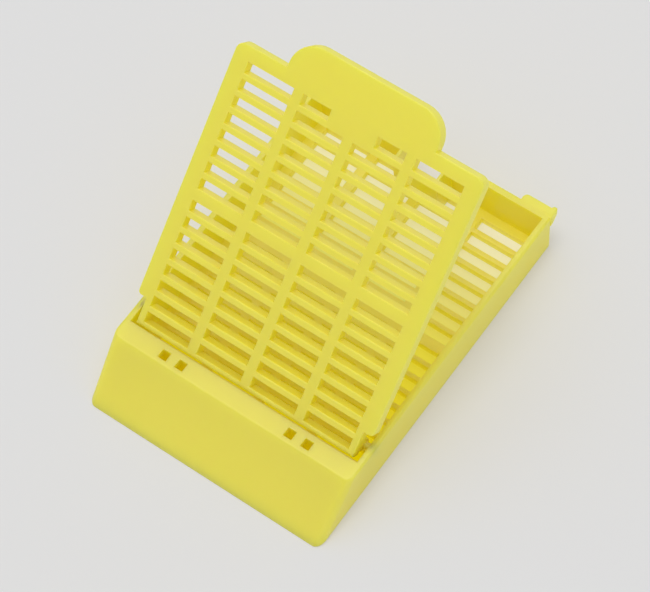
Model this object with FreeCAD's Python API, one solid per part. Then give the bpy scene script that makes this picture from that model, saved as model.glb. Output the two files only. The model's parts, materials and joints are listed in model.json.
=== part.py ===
import FreeCAD, Part
import math
import os

# Tissue cassette: a slotted tray with a sloped writing face, and a slotted lid that turns
# on two pins near the front of the tray. Millimetres. Z up, X across, Y from the writing
# face towards the lid's tab. The origin is on the resting plane, midway along the tray.
# The lid is modelled closed, on the wall tops, and then turned open about its pins.

# Tray, outside
tray_width = 28.5  # across the wall tops
tray_length = 39.89  # from the front bottom edge to the rear wall's outer face
tray_height = 5.9
side_draft_deg = 2.0  # the sides lean outwards as they rise
end_draft_deg = 1.4  # the rear wall's inner face leans back as it rises
face_run = 5.58  # how far the writing face goes back as it rises
face_corner_radius = 0.8
ridge_radius = 0.3
rear_corner_radius = 0.6
foot_chamfer = 0.45  # along the bottom of each side

# Tray, walls and chamber
side_wall = 0.72
rear_wall = 0.79
floor_thickness = 0.9
rim_depth = 2.13  # flat top between the ridge and the chamber
chamber_front_wall = 0.63
face_wall = 1.0
rim_roof = 1.0
hollow_side_wall = 1.2

# Square holes in the rim
hole_size = 0.955
hole_spacing = 2.01  # between the two holes of a pair
hole_pair_offset = 7.52  # from the middle to the centre of each pair
hole_setback = 0.98  # from the ridge to the hole's centre

# Ears at the rear corners, each with a small bead at its outer end
ear_reach = 0.75
ear_width = 3.7
ear_height = 1.5
ear_tip_height = 0.5
ear_end_radius = 0.5
bead_reach = 0.25
bead_width = 0.6

# Grille, in the same rows in the floor and in the lid
slot_pitch = 1.785
floor_slot = 1.22
lid_slot = 1.13
rib_width = 1.1
cross_bar_extra = 0.635  # how much wider the bar between the two banks is than the others
slot_side_margin = 1.15  # from the chamber's side wall to the outer slots
floor_rear_margin = 1.04
floor_front_margin = 1.2

# Lid
lid_side_inset = 0.3  # lid's edge inside the tray's side
lid_rear_inset = 0.472  # lid's shoulder ahead of the rear wall's outer face
lid_thickness = 1.3
lid_rear_margin = 1.48  # shoulder to the first slots
lid_front_margin = 0.4
lid_rear_corner_radius = 0.9
lid_front_corner_radius = 0.4
tongue_side_gap = 0.6  # between the tongue and the chamber's side wall
tongue_length = 2.92
tab_width = 16.8
tab_length = 3.3
tab_corner_radius = 2.8
tab_field_width = 5.3  # solid field in the lid's first row, in front of the tab

# Recess in the middle of the rear wall, open above, below and behind; its thin wall stands
# in the chamber, as wide as the lid's solid field, and the catch under the lid drops behind it
recess_reach = 3.35  # from the rear wall's outer face to the recess wall's chamber side
recess_wall = 0.35
catch_thickness = 0.8
catch_height = 1.2
catch_clearance = 0.1
catch_side_gap = 0.25

# Hinge
pin_radius = 0.35
pin_clearance = 0.05
pin_depth = 0.3  # how far a pin reaches into the side wall
pin_end_gap = 0.06
hinge_drop = 0.6  # pin axis below the wall tops
nose_clearance = 0.107  # the lid's rounded front edge clears the rim as it turns
hinge_to_lid_edge = 1.05  # lid's front edge ahead of the pin axis
lug_wall = 0.3
lug_thickness = 0.65
seat_clearance = 0.04  # lid above the wall tops when closed
open_angle_deg = 44.19

cut_overrun = 1.0  # how far a cutter runs past the faces that it opens

front_y = -(tray_length + ear_reach + bead_reach) / 2
back_y = front_y + tray_length
ridge_y = front_y + face_run
chamber_front_y = ridge_y + rim_depth
chamber_back_y = back_y - rear_wall
hinge_z = tray_height - hinge_drop
lid_bottom_z = tray_height + seat_clearance
lid_top_z = lid_bottom_z + lid_thickness
nose_radius = lid_thickness / 2
nose_swing = math.hypot(hinge_to_lid_edge - nose_radius, lid_bottom_z + nose_radius - hinge_z) + nose_radius
hinge_y = chamber_front_y + nose_swing + nose_clearance
lid_front_y = hinge_y - hinge_to_lid_edge
shoulder_y = back_y - lid_rear_inset
recess_y = back_y - recess_reach
lug_radius = pin_radius + lug_wall

# The floor and the lid have the same rows of slots, as many as both have room for
floor_first_row = chamber_back_y - floor_rear_margin
lid_first_row = shoulder_y - lid_rear_margin
floor_room = floor_first_row - chamber_front_y - floor_front_margin
lid_room = lid_first_row - lid_front_y - lid_front_margin
bank_rows = int((min(floor_room, lid_room) - cross_bar_extra + slot_pitch - floor_slot) / (2 * slot_pitch))
bank_step = bank_rows * slot_pitch + cross_bar_extra


def point(x, y, z):
    return FreeCAD.Vector(x, y, z)


def box(x0, x1, y0, y1, z0, z1):
    return Part.makeBox(x1 - x0, y1 - y0, z1 - z0, point(x0, y0, z0))


def prism(corners, direction):
    wire = Part.makePolygon(corners + corners[:1])
    return Part.Face(wire).extrude(direction)


def along_x(profile, x0, x1):
    corners = [point(x0, y, z) for y, z in profile]
    return prism(corners, point(x1 - x0, 0, 0))


def half_width(z):
    lean = math.tan(math.radians(side_draft_deg))
    return tray_width / 2 - (tray_height - z) * lean


def between_sides(inset, y0, y1, z0, z1):
    low = half_width(z0) - inset
    high = half_width(z1) - inset
    corners = [point(-low, y0, z0), point(low, y0, z0), point(high, y0, z1), point(-high, y0, z1)]
    return prism(corners, point(0, y1 - y0, 0))


def chamber_half_width(z):
    return half_width(z) - side_wall


def edges_where(shape, test):
    return [edge for edge in shape.Edges if test(edge)]


def mirrored(shape):
    return shape.mirror(point(0, 0, 0), point(1, 0, 0))


def same(a, b):
    return abs(a - b) < 0.001


def is_upright(edge, y):
    box_of_edge = edge.BoundBox
    return same(box_of_edge.YMin, y) and same(box_of_edge.YMax, y) and box_of_edge.ZLength > 0.1


def grille_rows(rear_y):
    rows = []
    for bank in range(2):
        bank_rear = rear_y - bank * bank_step
        rows += [bank_rear - row * slot_pitch for row in range(bank_rows)]
    return rows


def slot_columns():
    field = chamber_half_width(floor_thickness) - slot_side_margin
    width = (field - 1.5 * rib_width) / 2
    starts = [-field, -rib_width / 2 - width, rib_width / 2, field - width]
    return [(start, start + width) for start in starts]


def grille_cutters(rear_y, slot_length, z0, z1, field_width=0):
    cutters = []
    for row, slot_rear in enumerate(grille_rows(rear_y)):
        solid = field_width / 2 if row == 0 else 0
        for x0, x1 in slot_columns():
            left = x0 if x0 < 0 else max(x0, solid)
            right = x1 if x1 > 0 else min(x1, -solid)
            cutters.append(box(left, right, slot_rear - slot_length, slot_rear, z0, z1))
    return cutters


def tray_block():
    profile = [(front_y, 0), (back_y, 0), (back_y, tray_height), (ridge_y, tray_height)]
    block = along_x(profile, -tray_width, tray_width)
    block = block.common(between_sides(0, front_y, back_y, 0, tray_height))
    slope = edges_where(block, lambda e: same(e.BoundBox.YMin, front_y)
                        and same(e.BoundBox.YMax, ridge_y))
    block = block.makeFillet(face_corner_radius, slope)
    block = block.makeFillet(rear_corner_radius, edges_where(block, lambda e: is_upright(e, back_y)))
    return block


def ridge_rounding(block):
    ridge = edges_where(block, lambda e: same(e.BoundBox.YMin, ridge_y) and same(e.BoundBox.YMax, ridge_y)
                        and e.BoundBox.XLength > tray_width / 2)
    return block.makeFillet(ridge_radius, ridge)


def foot_wedge():
    foot = half_width(foot_chamfer)
    low = (foot - foot_chamfer - cut_overrun, -cut_overrun)
    high = (foot + cut_overrun, foot_chamfer + cut_overrun)
    corners = [point(x, front_y - cut_overrun, z) for x, z in (low, high, (high[0], low[1]))]
    return prism(corners, point(0, tray_length + 2 * cut_overrun, 0))


def front_hollow():
    slope = math.atan2(tray_height, face_run)
    inner_front = front_y + face_wall / math.sin(slope)
    roof_z = tray_height - rim_roof
    back = chamber_front_y - chamber_front_wall
    roof_front = inner_front + roof_z / math.tan(slope)
    profile = [(inner_front, 0), (back, 0), (back, roof_z), (roof_front, roof_z)]
    reach = half_width(0) - hollow_side_wall
    return along_x(profile, -reach, reach)


def rim_holes():
    centre_y = ridge_y + hole_setback
    half = hole_size / 2
    low = tray_height - rim_roof - cut_overrun
    high = tray_height + cut_overrun
    holes = []
    for side in (-1, 1):
        for step in (-0.5, 0.5):
            x = side * hole_pair_offset + step * hole_spacing
            holes.append(box(x - half, x + half, centre_y - half, centre_y + half, low, high))
    return holes


def ear():
    edge_x = tray_width / 2
    inner_x = edge_x - ear_width
    bead_x = edge_x - bead_width
    lead = bead_reach / 2
    root_y = back_y - rear_wall / 2
    tip_y = back_y + ear_reach
    bead_y = tip_y + bead_reach
    plan = [(inner_x, root_y), (inner_x, tip_y), (bead_x, tip_y), (bead_x + lead, bead_y),
            (edge_x - lead, bead_y), (edge_x, tip_y), (edge_x, root_y)]
    low = tray_height - ear_height
    blank = prism([point(x, y, low) for x, y in plan], point(0, 0, ear_height))
    blank = blank.makeFillet(ear_end_radius, edges_where(blank, lambda e: is_upright(e, tip_y)
                                                         and same(e.BoundBox.XMax, inner_x)))
    under = tray_height - ear_tip_height
    side = [(root_y, low), (back_y, low), (bead_y, under), (bead_y, tray_height), (root_y, tray_height)]
    return blank.common(along_x(side, inner_x, edge_x))


def pin_seat():
    depth = pin_depth + pin_end_gap
    start = point(chamber_half_width(hinge_z) - depth, hinge_y, hinge_z)
    return Part.makeCylinder(pin_radius + pin_clearance, 2 * depth, start, point(1, 0, 0))


def chamber():
    top = tray_height + cut_overrun
    lean = math.tan(math.radians(end_draft_deg))
    rear_foot = chamber_back_y - (tray_height - floor_thickness) * lean
    rear_top = chamber_back_y + cut_overrun * lean
    profile = [(chamber_front_y, floor_thickness), (rear_foot, floor_thickness), (rear_top, top),
               (chamber_front_y, top)]
    sides = between_sides(side_wall, chamber_front_y, rear_top, floor_thickness, top)
    return sides.common(along_x(profile, -tray_width, tray_width))


def recess_shell():
    half = tab_field_width / 2
    return box(-half, half, recess_y, back_y - rear_wall / 2, 0, tray_height)


def recess():
    half = tab_field_width / 2 - recess_wall
    return box(-half, half, recess_y + recess_wall, back_y + cut_overrun, -cut_overrun,
               tray_height + cut_overrun)


def base_tray():
    tray = ridge_rounding(tray_block())
    corner = ear()
    tray = tray.fuse([corner, mirrored(corner)]).removeSplitter()
    foot = foot_wedge()
    seat = pin_seat()
    slots = grille_cutters(floor_first_row, floor_slot, -cut_overrun, floor_thickness + cut_overrun)
    cutters = [chamber(), front_hollow(), foot, mirrored(foot), seat, mirrored(seat)]
    tray = tray.cut(cutters + rim_holes() + slots).fuse(recess_shell()).removeSplitter()
    return tray.cut(recess())


def rounded_plate(x0, x1, y0, y1, radius, corner_ys):
    plate = box(x0, x1, y0, y1, lid_bottom_z, lid_top_z)
    corners = [e for y in corner_ys for e in edges_where(plate, lambda e, y=y: is_upright(e, y))]
    return plate.makeFillet(radius, corners)


def tongue_half_width():
    return chamber_half_width(hinge_z) - tongue_side_gap


def tongue():
    reach = tongue_half_width()
    nose_y = lid_front_y + nose_radius
    blank = box(-reach, reach, nose_y, lid_front_y + 2 * tongue_length, lid_bottom_z, lid_top_z)
    start = point(-reach, nose_y, lid_bottom_z + nose_radius)
    return blank.fuse(Part.makeCylinder(nose_radius, 2 * reach, start, point(1, 0, 0)))


def lug():
    outer = tongue_half_width()
    inner = outer - lug_thickness
    start = point(inner, hinge_y, hinge_z)
    eye = Part.makeCylinder(lug_radius, lug_thickness, start, point(1, 0, 0))
    top_z = lid_bottom_z + nose_radius
    neck = box(inner, outer, hinge_y - lug_radius, hinge_y + lug_radius, hinge_z, top_z)
    pin_end = chamber_half_width(hinge_z) + pin_depth
    pin = Part.makeCylinder(pin_radius, pin_end - inner, start, point(1, 0, 0))
    return neck.fuse([eye, pin])


def catch():
    inner_y = recess_y + recess_wall + catch_clearance
    top_z = lid_bottom_z + lid_thickness / 2
    half = tab_field_width / 2 - recess_wall - catch_side_gap
    return box(-half, half, inner_y, inner_y + catch_thickness, lid_bottom_z - catch_height, top_z)


def closed_lid():
    half = tray_width / 2 - lid_side_inset
    wide_front = lid_front_y + tongue_length
    middle = (wide_front + shoulder_y) / 2
    front = rounded_plate(-half, half, wide_front, middle, lid_front_corner_radius, [wide_front])
    rear = rounded_plate(-half, half, middle, shoulder_y, lid_rear_corner_radius, [shoulder_y])
    tab_end = shoulder_y + tab_length
    tab = rounded_plate(-tab_width / 2, tab_width / 2, middle, tab_end, tab_corner_radius, [tab_end])
    hinge_lug = lug()
    plate = front.fuse([rear, tab, tongue(), catch(), hinge_lug, mirrored(hinge_lug)]).removeSplitter()
    slots = grille_cutters(lid_first_row, lid_slot, lid_bottom_z - cut_overrun,
                           lid_top_z + cut_overrun, tab_field_width)
    return plate.cut(slots)


def lid():
    opened = closed_lid()
    opened.rotate(point(0, hinge_y, hinge_z), point(1, 0, 0), open_angle_deg)
    return opened


os.makedirs("parts", exist_ok=True)
nodes = {"base_tray": base_tray(), "lid": lid()}
for name, shape in nodes.items():
    shape.exportStep("parts/" + name + ".step")
    print(name, len(shape.Solids), "solid", round(shape.Volume, 1), "mm3", shape.isValid())
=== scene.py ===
import json
import math

import bmesh
import bpy
from mathutils import Matrix, Vector


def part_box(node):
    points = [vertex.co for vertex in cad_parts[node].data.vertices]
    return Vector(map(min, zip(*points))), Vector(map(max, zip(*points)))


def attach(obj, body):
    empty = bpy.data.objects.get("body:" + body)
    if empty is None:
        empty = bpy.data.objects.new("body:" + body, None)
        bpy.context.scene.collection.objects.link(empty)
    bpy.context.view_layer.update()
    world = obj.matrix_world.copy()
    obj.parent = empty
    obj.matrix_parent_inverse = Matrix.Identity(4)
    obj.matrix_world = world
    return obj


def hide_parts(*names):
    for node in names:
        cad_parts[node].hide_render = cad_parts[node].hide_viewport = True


# A tissue cassette with its lid standing open, in pale yellow plastic. Shapes are built in
# millimetres, with the lid closed, and come down to the frame's metres when a piece is finished.

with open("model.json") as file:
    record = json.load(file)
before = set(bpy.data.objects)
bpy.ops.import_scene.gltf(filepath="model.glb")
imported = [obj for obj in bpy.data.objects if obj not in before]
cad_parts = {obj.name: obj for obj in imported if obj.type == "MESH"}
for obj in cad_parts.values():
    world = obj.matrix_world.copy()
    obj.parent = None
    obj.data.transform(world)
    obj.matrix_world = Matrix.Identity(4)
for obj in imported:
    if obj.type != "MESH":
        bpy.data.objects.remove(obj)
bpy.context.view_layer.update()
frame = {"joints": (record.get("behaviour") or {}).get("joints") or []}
mm = 0.001

trayLow, trayHigh = (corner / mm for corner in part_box("base_tray"))
hinge = frame["joints"][0]
hingePoint = Vector(hinge["pos_m"]) / mm
openAngle = math.radians(-hinge["range_deg"][0])
print("frame loaded, the lid stands open by", round(math.degrees(openAngle), 2), "degrees")


# Small helpers for the bmesh work

leastSharp = math.radians(25)
softSegments = 3
roundSegments = 32


def near(a, b, slack=0.01):
    return abs(a - b) < slack


def edgesWhere(shape, test):
    shape.normal_update()
    return [edge for edge in shape.edges if test(edge)]


def facesWhere(shape, test):
    shape.normal_update()
    return [face for face in shape.faces if test(face)]


def middleOf(edge):
    return (edge.verts[0].co + edge.verts[1].co) / 2


def allAt(part, axis, place):
    return all(near(vert.co[axis], place) for vert in part.verts)


def isSharp(edge):
    return len(edge.link_faces) == 2 and edge.calc_face_angle() > leastSharp


def newShape():
    # the layer holds how far each edge is rounded, for the bevel modifier
    shape = bmesh.new()
    shape.edges.layers.float.new("bevel_weight_edge")
    return shape


def blockShape(low, high):
    shape = newShape()
    bmesh.ops.create_cube(shape, size=1)
    low, high = Vector(low), Vector(high)
    bmesh.ops.scale(shape, vec=high - low, verts=shape.verts)
    bmesh.ops.translate(shape, vec=(low + high) / 2, verts=shape.verts)
    return shape


def roundEdges(shape, edges, radius, segments):
    bmesh.ops.bevel(shape, geom=edges, offset=radius, offset_type="OFFSET", segments=segments,
                    profile=0.5, affect="EDGES", clamp_overlap=False, material=-1)


def roundCorners(shape, corners, radius, segments):
    verts = [vert for vert in shape.verts
             if any((vert.co - corner).length < 0.01 for corner in corners)]
    bmesh.ops.bevel(shape, geom=verts, offset=radius, offset_type="OFFSET", segments=segments,
                    profile=0.5, affect="VERTICES", clamp_overlap=False, material=-1)


def markRound(shape, edges, radius):
    # the weight is the setback in millimetres that gives the radius
    weight = shape.edges.layers.float["bevel_weight_edge"]
    for edge in edges:
        edge[weight] = radius * math.tan(edge.calc_face_angle() / 2)


def scoreFaces(shape, test, axis, places):
    # straight cuts across the faces that pass the test
    normal = Vector((0, 0, 0))
    normal[axis] = 1
    for place in places:
        faces = facesWhere(shape, test)
        around = ({edge for face in faces for edge in face.edges}
                  | {vert for face in faces for vert in face.verts})
        bmesh.ops.bisect_plane(shape, geom=faces + list(around), dist=0.0005,
                               plane_co=normal * place, plane_no=normal)


def pushFaces(shape, faces, move):
    rim = {edge for face in faces for edge in face.edges}
    grown = bmesh.ops.extrude_face_region(shape, geom=faces + list(rim))["geom"]
    verts = [item for item in grown if isinstance(item, bmesh.types.BMVert)]
    bmesh.ops.translate(shape, verts=verts, vec=move)
    return verts


def openThrough(shape, faces):
    # a straight hole between two faces that look away from each other
    rim = [edge for face in faces for edge in face.edges]
    bmesh.ops.delete(shape, geom=faces, context="FACES_ONLY")
    bmesh.ops.bridge_loops(shape, edges=rim)


def rodShape(radius, length, middle):
    # a round bar along X
    shape = newShape()
    bmesh.ops.create_cone(shape, cap_ends=True, segments=roundSegments, radius1=radius, radius2=radius,
                          depth=length)
    bmesh.ops.rotate(shape, verts=shape.verts, matrix=Matrix.Rotation(math.pi / 2, 3, "Y"))
    bmesh.ops.translate(shape, verts=shape.verts, vec=middle)
    return shape


def asObject(shape, name):
    mesh = bpy.data.meshes.new(name)
    shape.to_mesh(mesh)
    shape.free()
    made = bpy.data.objects.new(name, mesh)
    bpy.context.scene.collection.objects.link(made)
    return made


def bakeModifiers(piece):
    bpy.context.view_layer.update()
    evaluated = piece.evaluated_get(bpy.context.evaluated_depsgraph_get())
    finished = bpy.data.meshes.new_from_object(evaluated)
    piece.modifiers.clear()
    piece.data = finished


def softenEdges(piece):
    bevel = piece.modifiers.new("soft edges", "BEVEL")
    bevel.width = 1
    bevel.limit_method = "WEIGHT"
    bevel.segments = softSegments
    bevel.profile = 0.5
    bevel.use_clamp_overlap = False
    bakeModifiers(piece)


def combine(piece, shapes, operation):
    for shape in shapes:
        tool = asObject(shape, "tool")
        softenEdges(tool)
        cut = piece.modifiers.new(operation.lower(), "BOOLEAN")
        cut.operation = operation
        cut.solver = "MANIFOLD"
        cut.object = tool
        bakeModifiers(piece)
        bpy.data.objects.remove(tool)


def finishPiece(piece, placing, node, body, material):
    piece.data.transform(Matrix.Scale(mm, 4) @ placing)
    piece.data.materials.clear()
    piece.data.materials.append(material)
    piece.data.shade_smooth()
    piece.data.set_sharp_from_angle(angle=math.radians(40))
    flat = piece.modifiers.new("flat faces", "WEIGHTED_NORMAL")
    flat.keep_sharp = True
    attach(piece, body)
    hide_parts(node)
    print(piece.name, "finished with", len(piece.data.polygons), "faces")


# The slots, in the same pattern in the floor and in the lid: four columns, in two banks

grille = {
    "pitch": 1.785,
    "floorSlot": 1.22,
    "lidSlot": 1.13,
    "rib": 1.1,
    "crossBarExtra": 0.635,
    "halfWidth": 12.205,
    "bankRows": 8,
    "topRound": 0.12,
    "bottomRound": 0.06,
}


def slotColumns():
    middle = grille["rib"] / 2
    width = (grille["halfWidth"] - 3 * middle) / 2
    return [(side - width / 2, side + width / 2)
            for side in (-grille["halfWidth"] + width / 2, -middle - width / 2,
                         middle + width / 2, grille["halfWidth"] - width / 2)]


def slotRows(firstRow, slot):
    bank = grille["bankRows"] * grille["pitch"] + grille["crossBarExtra"]
    rears = [firstRow - step * bank - row * grille["pitch"]
             for step in range(2) for row in range(grille["bankRows"])]
    return [(rear - slot, rear) for rear in rears]


def scoreGrille(shape, test, rows):
    scoreFaces(shape, test, 0, [place for column in slotColumns() for place in column])
    scoreFaces(shape, test, 1, [place for row in rows for place in row])


def inSlot(point, rows):
    return (any(low < point.x < high for low, high in slotColumns())
            and any(low < point.y < high for low, high in rows))


# The tray

tray = {
    "wall": 0.72,
    "rearWall": 0.79,
    "floor": 0.9,
    "draft": math.radians(2),
    "rearLean": math.radians(1.4),
    "faceRun": 5.58,
    "faceWall": 1.0,
    "rimDepth": 2.13,
    "rimRoof": 1.0,
    "chamberFrontWall": 0.63,
    "hollowSideWall": 1.2,
    "firstSlot": 1.04,
    "faceCorner": 0.8,
    "rearCorner": 0.6,
    "cornerSegments": 6,
    "topRound": 0.3,
    "innerRound": 0.08,
    "footRound": 0.08,
    "sideFootRound": 0.3,
}
rimHole = {"size": 0.955, "spacing": 2.01, "pairOffset": 7.52, "setback": 0.98, "round": 0.06}
ear = {
    "width": 3.7,
    "height": 1.5,
    "tip": 0.5,
    "tipSlope": 0.25,
    "reach": 0.75,
    "bead": 0.25,
    "beadWidth": 0.6,
    "corner": 0.5,
    "round": 0.12,
}
pin = {"radius": 0.35, "clearance": 0.05, "depth": 0.3, "endGap": 0.06}
recess = {"width": 5.3, "reach": 3.35, "wall": 0.35, "round": 0.08}

backY = trayHigh.y - ear["reach"] - ear["bead"]
ridgeY = trayLow.y + tray["faceRun"]
chamberFront = ridgeY + tray["rimDepth"]
chamberBack = backY - tray["rearWall"]
recessFront = backY - recess["reach"]
topZ = trayHigh.z


def halfWidth(z):
    return trayHigh.x - (topZ - z) * math.tan(tray["draft"])


def chamberHalf(z):
    return halfWidth(z) - tray["wall"]


def trayBlock():
    shape = blockShape((-1, 0, 0), (1, 1, topZ))
    for vert in shape.verts:
        front = ridgeY if vert.co.z > 0 else trayLow.y
        vert.co.y = backY if vert.co.y > 0.5 else front
        vert.co.x *= halfWidth(vert.co.z)
    slope = edgesWhere(shape, lambda e: near(min(v.co.y for v in e.verts), trayLow.y)
                       and near(max(v.co.y for v in e.verts), ridgeY))
    roundEdges(shape, slope, tray["faceCorner"], tray["cornerSegments"])
    rear = edgesWhere(shape, lambda e: allAt(e, 1, backY) and near(middleOf(e).z, topZ / 2))
    roundEdges(shape, rear, tray["rearCorner"], tray["cornerSegments"])
    return shape


def isTop(face):
    return face.normal.z > 0.99 and allAt(face, 2, topZ)


def isUnderside(face):
    return face.normal.z < -0.99 and allAt(face, 2, 0)


def isFloor(face):
    return face.normal.z > 0.99 and allAt(face, 2, tray["floor"])


def liesBetween(face, low, high):
    return low < face.calc_center_median().y < high


def faceAround(shape, test, y):
    # the face that passes the test and whose middle is nearest to a place on the centre line
    def distance(face):
        return (face.calc_center_bounds() - Vector((0, y, face.verts[0].co.z))).length

    return min(facesWhere(shape, test), key=distance)


def sinkChamber(shape):
    scoreFaces(shape, isTop, 1, [chamberFront, chamberBack])
    scoreFaces(shape, lambda f: isTop(f) and liesBetween(f, chamberFront, chamberBack), 0,
               [-chamberHalf(topZ), chamberHalf(topZ)])
    opening = faceAround(shape, isTop, (chamberFront + chamberBack) / 2)
    depth = topZ - tray["floor"]
    for vert in pushFaces(shape, [opening], (0, 0, -depth)):
        vert.co.x *= chamberHalf(tray["floor"]) / chamberHalf(topZ)
        if vert.co.y > 0:
            vert.co.y -= depth * math.tan(tray["rearLean"])


def openFloor(shape):
    rows = slotRows(chamberBack - tray["firstSlot"], grille["floorSlot"])
    foot = chamberHalf(tray["floor"])
    scoreFaces(shape, isUnderside, 1, [chamberFront, chamberBack])
    scoreFaces(shape, lambda f: isUnderside(f) and liesBetween(f, chamberFront, chamberBack), 0,
               [-foot, foot])

    def underChamber(face):
        return (isUnderside(face) and liesBetween(face, chamberFront, chamberBack)
                and abs(face.calc_center_median().x) < foot)

    scoreGrille(shape, isFloor, rows)
    scoreGrille(shape, underChamber, rows)
    pairs = {}
    for face in facesWhere(shape, lambda f: isFloor(f) or underChamber(f)):
        middle = face.calc_center_median()
        if inSlot(middle, rows):
            pairs.setdefault((round(middle.x), round(2 * middle.y)), []).append(face)
    for faces in pairs.values():
        openThrough(shape, faces)


def hollowFront(shape):
    slope = math.atan2(topZ, tray["faceRun"])
    innerFront = trayLow.y + tray["faceWall"] / math.sin(slope)
    back = chamberFront - tray["chamberFrontWall"]
    roof = topZ - tray["rimRoof"]
    reach = halfWidth(0) - tray["hollowSideWall"]
    scoreFaces(shape, lambda f: isUnderside(f) and f.calc_center_median().y < chamberFront, 1,
               [innerFront, back])
    scoreFaces(shape, lambda f: isUnderside(f) and liesBetween(f, innerFront, back), 0, [-reach, reach])
    mouth = faceAround(shape, isUnderside, (innerFront + back) / 2)
    for vert in pushFaces(shape, [mouth], (0, 0, roof)):
        if near(vert.co.y, innerFront):
            vert.co.y += roof / math.tan(slope)


def openRim(shape):
    middleY = ridgeY + rimHole["setback"]
    half = rimHole["size"] / 2
    roof = topZ - tray["rimRoof"]
    centres = [side * rimHole["pairOffset"] + step * rimHole["spacing"]
               for side in (-1, 1) for step in (-0.5, 0.5)]

    def isRim(face):
        return (isTop(face) and face.calc_center_median().y < chamberFront
                or face.normal.z < -0.99 and allAt(face, 2, roof))

    def inColumn(face):
        return isRim(face) and any(near(face.calc_center_median().x, centre, half) for centre in centres)

    scoreFaces(shape, isRim, 0, [centre + side * half for centre in centres for side in (-1, 1)])
    scoreFaces(shape, inColumn, 1, [middleY - half, middleY + half])
    for centre in centres:
        middle = Vector((centre, middleY))
        openThrough(shape, facesWhere(shape, lambda f: isRim(f) and all(
            near(f.calc_center_median()[axis], middle[axis], half / 2) for axis in (0, 1))))


def earShape(side):
    outer = trayHigh.x
    inner = outer - ear["width"]
    beadInner = outer - ear["beadWidth"]
    end = backY + ear["reach"]
    shape = blockShape((inner, backY - tray["rearWall"] / 2, topZ - ear["height"]), (outer, end, topZ))
    scoreFaces(shape, lambda f: True, 1, [backY])
    scoreFaces(shape, lambda f: allAt(f, 1, end), 0, [beadInner])
    for vert in shape.verts:
        if near(vert.co.y, end) and not near(vert.co.z, topZ):
            vert.co.z = topZ - ear["tip"] - ear["tipSlope"]
    bead = facesWhere(shape, lambda f: allAt(f, 1, end) and f.calc_center_median().x > beadInner)
    lead = ear["bead"] / 2
    for vert in pushFaces(shape, bead, (0, ear["bead"], 0)):
        vert.co.x += lead if vert.co.x < (beadInner + outer) / 2 else -lead
        if not near(vert.co.z, topZ):
            vert.co.z = topZ - ear["tip"]
    corner = edgesWhere(shape, lambda e: allAt(e, 1, end) and allAt(e, 0, inner))
    roundEdges(shape, corner, ear["corner"], tray["cornerSegments"])
    behind = edgesWhere(shape, lambda e: isSharp(e) and middleOf(e).y > backY - 0.01)
    markRound(shape, [e for e in behind if allAt(e, 2, topZ)], ear["round"])
    if side < 0:
        bmesh.ops.scale(shape, vec=(-1, 1, 1), verts=shape.verts)
    bmesh.ops.recalc_face_normals(shape, faces=shape.faces)
    return shape


def recessShape():
    # a thin wall round three sides of a groove that is open behind, above and below
    outer = recess["width"] / 2
    inner = outer - recess["wall"]
    back = recessFront + recess["wall"]
    shape = newShape()
    shape.faces.new([shape.verts.new((x, y, 0)) for x, y in (
        (-outer, recessFront), (outer, recessFront), (outer, backY), (inner, backY),
        (inner, back), (-inner, back), (-inner, backY), (-outer, backY))])
    pushFaces(shape, shape.faces[:], (0, 0, topZ))
    bmesh.ops.recalc_face_normals(shape, faces=shape.faces)
    top = edgesWhere(shape, lambda e: allAt(e, 2, topZ))
    markRound(shape, [e for e in top if allAt(e, 1, backY)], tray["topRound"])
    markRound(shape, [e for e in top if not allAt(e, 1, backY)], recess["round"])
    return shape


def recessGap():
    half = (recess["width"] - recess["wall"]) / 2
    return blockShape((-half, recessFront + recess["wall"] / 2, -1), (half, backY + 1, topZ + 1))


def pinSeat(side):
    return rodShape(pin["radius"] + pin["clearance"], 2 * (pin["depth"] + pin["endGap"]),
                    (side * chamberHalf(hingePoint.z), hingePoint.y, hingePoint.z))


def markTray(shape):
    def isHole(edge):
        middle = middleOf(edge)
        return near(middle.y, ridgeY + rimHole["setback"], 0.6) and abs(middle.x) < chamberHalf(topZ)

    def isInner(edge):
        middle = middleOf(edge)
        return (abs(middle.x) < chamberHalf(topZ) + 0.01
                and chamberFront - 0.01 < middle.y < chamberBack + 0.01)

    def inChamber(edge):
        middle = middleOf(edge)
        return abs(middle.x) < grille["halfWidth"] + 0.01 and middle.y > chamberFront

    rims = edgesWhere(shape, lambda e: isSharp(e) and allAt(e, 2, topZ))
    markRound(shape, [e for e in rims if isHole(e)], rimHole["round"])
    markRound(shape, [e for e in rims if isInner(e)], tray["innerRound"])
    markRound(shape, [e for e in rims if not isHole(e) and not isInner(e)], tray["topRound"])
    slots = edgesWhere(shape, lambda e: isSharp(e) and e.is_convex and allAt(e, 2, tray["floor"])
                       and inChamber(e) and e.calc_length() < grille["halfWidth"] / 2)
    markRound(shape, slots, grille["topRound"])
    feet = edgesWhere(shape, lambda e: isSharp(e) and allAt(e, 2, 0))
    markRound(shape, [e for e in feet if inChamber(e)], grille["bottomRound"])
    for edge in [e for e in feet if not inChamber(e)]:
        # the long side edges are rounded most, and the slope's foot least
        isOuter = abs(middleOf(edge).x) > halfWidth(0) - 1
        sideways = max(abs(face.normal.x) for face in edge.link_faces) if isOuter else 0
        more = (tray["sideFootRound"] - tray["footRound"]) * sideways ** 2
        markRound(shape, [edge], tray["footRound"] + more)


def buildTray():
    shape = trayBlock()
    sinkChamber(shape)
    openFloor(shape)
    hollowFront(shape)
    openRim(shape)
    markTray(shape)
    piece = asObject(shape, "cassetteTray")
    softenEdges(piece)
    combine(piece, [recessGap(), pinSeat(-1), pinSeat(1)], "DIFFERENCE")
    combine(piece, [recessShape(), earShape(-1), earShape(1)], "UNION")
    return piece


# The lid

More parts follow.
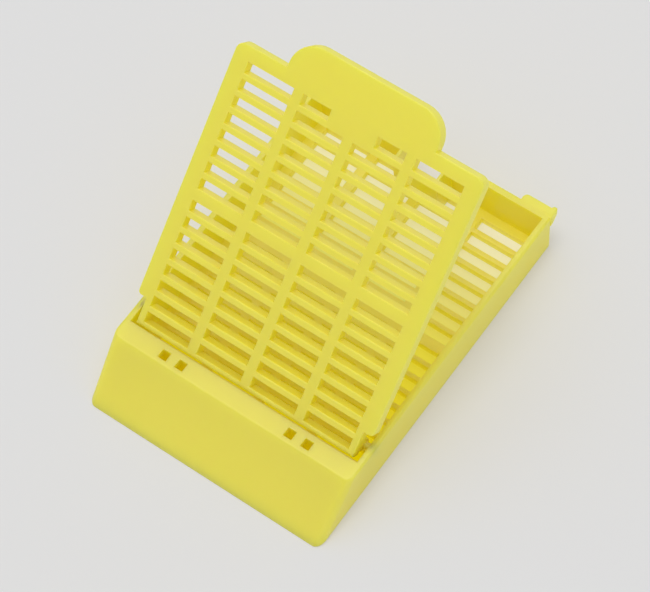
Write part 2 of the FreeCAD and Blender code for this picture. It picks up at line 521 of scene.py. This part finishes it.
lid = {
    "thickness": 1.3,
    "gap": 0.04,
    "sideInset": 0.3,
    "rearInset": 0.472,
    "frontReach": 1.05,
    "noseRound": 0.42,
    "rearCorner": 0.9,
    "frontCorner": 0.4,
    "cornerSegments": 8,
    "firstSlot": 1.48,
    "edgeRound": 0.12,
}
tongue = {"sideGap": 0.6, "length": 2.92}
tab = {"width": 16.8, "length": 3.3, "corner": 2.8, "field": 5.3}
lug = {"wall": 0.3, "thickness": 0.65}
catch = {"width": 4.1, "thickness": 0.8, "height": 1.2, "clearance": 0.1}

lidBottom = topZ + lid["gap"]
lidTop = lidBottom + lid["thickness"]
lidFront = hingePoint.y - lid["frontReach"]
wideFront = lidFront + tongue["length"]
shoulder = backY - lid["rearInset"]
lidHalf = trayHigh.x - lid["sideInset"]
tongueHalf = chamberHalf(hingePoint.z) - tongue["sideGap"]


def lidOutline():
    tabEnd = shoulder + tab["length"]
    tabHalf = tab["width"] / 2
    right = [(tongueHalf, lidFront), (tongueHalf, wideFront), (lidHalf, wideFront), (lidHalf, shoulder),
             (tabHalf, shoulder), (tabHalf, tabEnd)]
    corners = right + [(-x, y) for x, y in reversed(right)]
    shape = newShape()
    shape.faces.new([shape.verts.new((x, y, lidBottom)) for x, y in corners])
    for radius, x, y in ((lid["frontCorner"], lidHalf, wideFront),
                         (lid["rearCorner"], lidHalf, shoulder),
                         (tab["corner"], tabHalf, tabEnd)):
        corners = [Vector((side * x, y, lidBottom)) for side in (-1, 1)]
        roundCorners(shape, corners, radius, lid["cornerSegments"])
    return shape


def lugShape(side):
    outer = side * tongueHalf
    inner = outer - side * lug["thickness"]
    radius = pin["radius"] + lug["wall"]
    front, back = hingePoint.y - radius, hingePoint.y + radius
    low = hingePoint.z - radius
    shape = blockShape((min(outer, inner), front, low),
                       (max(outer, inner), back, lidBottom + lid["thickness"] / 2))
    end = edgesWhere(shape, lambda e: allAt(e, 2, low) and (allAt(e, 1, front) or allAt(e, 1, back)))
    roundEdges(shape, end, radius * 0.99, lid["cornerSegments"])
    return shape


def pinShape(side):
    start = side * (tongueHalf - lug["thickness"] / 2)
    end = side * (chamberHalf(hingePoint.z) + pin["depth"])
    return rodShape(pin["radius"], abs(end - start), ((start + end) / 2, hingePoint.y, hingePoint.z))


def catchShape():
    inner = recessFront + recess["wall"] + catch["clearance"]
    return blockShape((-catch["width"] / 2, inner, lidBottom - catch["height"]),
                      (catch["width"] / 2, inner + catch["thickness"], lidBottom + lid["thickness"] / 2))


def buildLid():
    rows = slotRows(shoulder - lid["firstSlot"], grille["lidSlot"])
    shape = lidOutline()
    scoreGrille(shape, lambda f: True, rows)
    fieldHalf = tab["field"] / 2

    def isField(face):
        return liesBetween(face, *rows[0]) and abs(face.calc_center_median().x) < fieldHalf

    scoreFaces(shape, lambda f: liesBetween(f, *rows[0]), 0, [-fieldHalf, fieldHalf])
    gone = facesWhere(shape, lambda f: inSlot(f.calc_center_median(), rows) and not isField(f))
    bmesh.ops.delete(shape, geom=gone, context="FACES")
    pushFaces(shape, shape.faces[:], (0, 0, lid["thickness"]))
    bmesh.ops.recalc_face_normals(shape, faces=shape.faces)
    nose = edgesWhere(shape, lambda e: allAt(e, 1, lidFront)
                      and (allAt(e, 2, lidTop) or allAt(e, 2, lidBottom)))
    roundEdges(shape, nose, lid["noseRound"], lid["cornerSegments"])
    sharp = edgesWhere(shape, isSharp)
    markRound(shape, [e for e in sharp if allAt(e, 2, lidTop)], lid["edgeRound"])
    markRound(shape, [e for e in sharp if allAt(e, 2, lidBottom)], grille["bottomRound"])
    piece = asObject(shape, "cassetteLid")
    softenEdges(piece)
    combine(piece, [lugShape(-1), lugShape(1), pinShape(-1), pinShape(1), catchShape()], "UNION")
    return piece


# Plastic

def mouldedPlastic(name, look):
    material = bpy.data.materials.new(name)
    material.use_nodes = True
    nodes, links = material.node_tree.nodes, material.node_tree.links
    shader = nodes["Principled BSDF"]
    shader.inputs["IOR"].default_value = look["ior"]
    shader.inputs["Subsurface Weight"].default_value = look["glow"]
    shader.inputs["Subsurface Radius"].default_value = look["glowReach"]
    shader.inputs["Subsurface Scale"].default_value = look["glowScale"] * mm
    place = nodes.new("ShaderNodeTexCoord")

    def noise(size, detail, roughness=0.5):
        made = nodes.new("ShaderNodeTexNoise")
        made.inputs["Scale"].default_value = 1 / (size * mm)
        made.inputs["Detail"].default_value = detail
        made.inputs["Roughness"].default_value = roughness
        links.new(place.outputs["Object"], made.inputs["Vector"])
        return made

    flow = noise(look["flowSize"], 3)  # slow change of colour across the moulding
    tint = nodes.new("ShaderNodeMix")
    tint.data_type = "RGBA"
    tint.inputs["A"].default_value = (*look["colour"], 1)
    tint.inputs["B"].default_value = (*look["deepColour"], 1)
    links.new(flow.outputs["Fac"], tint.inputs["Factor"])
    links.new(tint.outputs["Result"], shader.inputs["Base Color"])

    patch = noise(look["patchSize"], 4)
    shine = nodes.new("ShaderNodeMapRange")
    shine.inputs["To Min"].default_value = look["roughness"][0]
    shine.inputs["To Max"].default_value = look["roughness"][1]
    links.new(patch.outputs["Fac"], shine.inputs["Value"])
    links.new(shine.outputs["Result"], shader.inputs["Roughness"])

    grain = noise(look["grainSize"], 6, 0.6)  # fine spark-eroded texture of the mould
    wave = noise(look["waveSize"], 1)  # faint sink of the thin walls
    both = nodes.new("ShaderNodeMath")
    both.operation = "MULTIPLY_ADD"
    both.inputs[1].default_value = look["waveDepth"] / look["grainDepth"]
    links.new(wave.outputs["Fac"], both.inputs[0])
    links.new(grain.outputs["Fac"], both.inputs[2])
    bump = nodes.new("ShaderNodeBump")
    bump.inputs["Distance"].default_value = look["grainDepth"] * mm
    bump.inputs["Strength"].default_value = 1
    links.new(both.outputs["Value"], bump.inputs["Height"])
    links.new(bump.outputs["Normal"], shader.inputs["Normal"])
    return material


plastic = {
    "colour": (0.993, 0.81, 0.052),
    "deepColour": (0.99, 0.795, 0.042),
    "ior": 1.92,
    "glow": 1.0,
    "glowReach": (1.0, 0.95, 0.3),
    "glowScale": 2.5,
    "flowSize": 9,
    "patchSize": 2.5,
    "roughness": (0.36, 0.48),
    "grainSize": 0.12,
    "grainDepth": 0.0012,
    "waveSize": 4,
    "waveDepth": 0.004,
}

trayPlastic = mouldedPlastic("trayPlastic", plastic)
lidPlastic = mouldedPlastic("lidPlastic", plastic)

openLid = (Matrix.Translation(hingePoint) @ Matrix.Rotation(openAngle, 4, "X")
           @ Matrix.Translation(-hingePoint))
finishPiece(buildTray(), Matrix.Identity(4), "base_tray", "base", trayPlastic)
finishPiece(buildLid(), openLid, "lid", "lid", lidPlastic)


# Floor, light and camera

studio = {
    "floorSize": 1.5,
    "floorDrop": 0.02,
    "floorColour": (0.64, 0.64, 0.64),
    "floorGlow": (0.19, 0.19, 0.193),
    # painted pool of light under the tray: yellow floor colour and yellow glow, from front (0) to rear
    # (1), standing in for light that comes down through the plastic
    "paintedPoolHalf": (13.3, 19.3),
    "paintedPoolColours": (
        (0.23, (0.58, 0.52, 0.01)),
        (0.564, (0.57, 0.54, 0.08)),
        (0.744, (0.56, 0.54, 0.24)),
        (1.0, (0.54, 0.54, 0.54)),
    ),
    "paintedPoolGlows": (
        (0.23, (0.42, 0.37, 0.0)),
        (0.564, (0.39, 0.37, 0.03)),
        (0.744, (0.37, 0.36, 0.11)),
        (1.0, (0.42, 0.42, 0.31)),
    ),
    "horizon": 0.85,
    "sky": 0.42,
    "skyFrom": 0.6,
    "lampDistance": 0.7,
    "lamps": (
        {"name": "softbox", "direction": (-0.10, 0.08, 0.99), "size": 0.95, "watts": 1.5},
        {"name": "overhead", "direction": (-0.02, -0.04, 1.0), "size": 0.26, "watts": 0.82},
    ),
}


def colourFloorAndPaintedPool(material, shader):
    # white, lit a little from below by an even glow. Under the tray a pool of light is painted in,
    # yellow colour and yellow glow, for the light that comes down through the plastic; the recess, which
    # is open above, is left out of it
    nodes, links = material.node_tree.nodes, material.node_tree.links

    def work(operation, a, b):
        made = nodes.new("ShaderNodeMath")
        made.operation = operation
        for socket, value in zip(made.inputs, (a, b)):
            if isinstance(value, (int, float)):
                socket.default_value = value
            else:
                links.new(value, socket)
        return made.outputs["Value"]

    def mix(factor, outside, inside):
        made = nodes.new("ShaderNodeMix")
        made.data_type = "RGBA"
        links.new(factor, made.inputs["Factor"])
        made.inputs["A"].default_value = (*outside, 1)
        links.new(inside, made.inputs["B"])
        return made.outputs["Result"]

    place = nodes.new("ShaderNodeSeparateXYZ")
    links.new(nodes.new("ShaderNodeTexCoord").outputs["Object"], place.inputs["Vector"])
    reachX, reachY = (reach * mm for reach in studio["paintedPoolHalf"])
    awayX, awayY = (work("ABSOLUTE", place.outputs[axis], 0) for axis in "XY")
    underTray = work("MULTIPLY", work("LESS_THAN", awayX, reachX), work("LESS_THAN", awayY, reachY))
    inRecess = work("MULTIPLY", work("LESS_THAN", awayX, recess["width"] / 2 * mm),
                    work("GREATER_THAN", place.outputs["Y"], recessFront * mm))
    inPaintedPool = work("SUBTRACT", underTray, work("MULTIPLY", underTray, inRecess))
    along = nodes.new("ShaderNodeMapRange")
    along.inputs["From Min"].default_value = -reachY
    along.inputs["From Max"].default_value = reachY
    links.new(place.outputs["Y"], along.inputs["Value"])

    def ramp(tints):
        made = nodes.new("ShaderNodeValToRGB")
        stops = made.color_ramp.elements
        stops.remove(stops[1])
        stops[0].position, stops[0].color = 0, (*tints[0][1], 1)
        for position, colour in tints:
            stops.new(position).color = (*colour, 1)
        links.new(along.outputs["Result"], made.inputs["Fac"])
        return made.outputs["Color"]

    # painted pool of light: inside the mask the floor's colour and glow turn yellow, in place of light
    # through the plastic
    colour = mix(inPaintedPool, studio["floorColour"], ramp(studio["paintedPoolColours"]))
    glow = mix(inPaintedPool, studio["floorGlow"], ramp(studio["paintedPoolGlows"]))
    links.new(colour, shader.inputs["Base Color"])
    links.new(glow, shader.inputs["Emission Color"])
    shader.inputs["Emission Strength"].default_value = 1


def layFloor():
    shape = newShape()
    bmesh.ops.create_grid(shape, x_segments=1, y_segments=1, size=studio["floorSize"] / 2)
    bmesh.ops.translate(shape, verts=shape.verts, vec=(0, 0, -studio["floorDrop"] * mm))
    floor = asObject(shape, "floor")
    material = bpy.data.materials.new("paleFloorWithPaintedPool")
    material.use_nodes = True
    shader = material.node_tree.nodes["Principled BSDF"]
    shader.inputs["Roughness"].default_value = 0.9
    shader.inputs["Specular IOR Level"].default_value = 0.0
    colourFloorAndPaintedPool(material, shader)
    floor.data.materials.append(material)


def lightStudio():
    world = bpy.data.worlds.new("tent")
    world.use_nodes = True
    nodes, links = world.node_tree.nodes, world.node_tree.links
    place = nodes.new("ShaderNodeSeparateXYZ")
    links.new(nodes.new("ShaderNodeTexCoord").outputs["Generated"], place.inputs["Vector"])
    fade = nodes.new("ShaderNodeMapRange")  # the tent is brighter low down than overhead
    fade.inputs["From Max"].default_value = studio["skyFrom"]
    fade.inputs["To Min"].default_value = studio["horizon"]
    fade.inputs["To Max"].default_value = studio["sky"]
    links.new(place.outputs["Z"], fade.inputs["Value"])
    nodes["Background"].inputs["Color"].default_value = (1, 1, 1, 1)
    links.new(fade.outputs["Result"], nodes["Background"].inputs["Strength"])
    bpy.context.scene.world = world
    for look in studio["lamps"]:
        lamp = bpy.data.lights.new(look["name"], "AREA")
        lamp.shape = "DISK"
        lamp.size = look["size"]
        lamp.energy = look["watts"]
        away = Vector(look["direction"]).normalized()
        box = bpy.data.objects.new(look["name"], lamp)
        box.location = away * studio["lampDistance"]
        box.rotation_mode = "QUATERNION"
        box.rotation_quaternion = away.to_track_quat("Z", "Y")
        bpy.context.scene.collection.objects.link(box)


shot = {
    "turn": math.radians(43.79),
    "rise": math.radians(62.21),
    "roll": math.radians(-9.16),
    "distance": 0.287208,
    "aim": Vector((-0.00143, 0.002163, 0)),
    "lens": 159.86,
}


def placeCamera():
    turn, rise, roll = shot["turn"], shot["rise"], shot["roll"]
    back = Vector((math.sin(turn) * math.cos(rise), -math.cos(turn) * math.cos(rise),
                   math.sin(rise)))
    level = Vector((math.cos(turn), math.sin(turn), 0))
    upright = back.cross(level)
    right = level * math.cos(roll) + upright * math.sin(roll)
    up = upright * math.cos(roll) - level * math.sin(roll)
    data = bpy.data.cameras.new("camera")
    data.lens = shot["lens"]
    data.sensor_width = 36
    data.clip_start = 0.01
    camera = bpy.data.objects.new("camera", data)
    camera.matrix_world = (Matrix.Translation(shot["aim"] + back * shot["distance"])
                           @ Matrix((right, up, back)).transposed().to_4x4())
    bpy.context.scene.collection.objects.link(camera)
    bpy.context.scene.camera = camera


layFloor()
lightStudio()
placeCamera()
bpy.context.scene.view_settings.view_transform = "Standard"
print("studio ready")
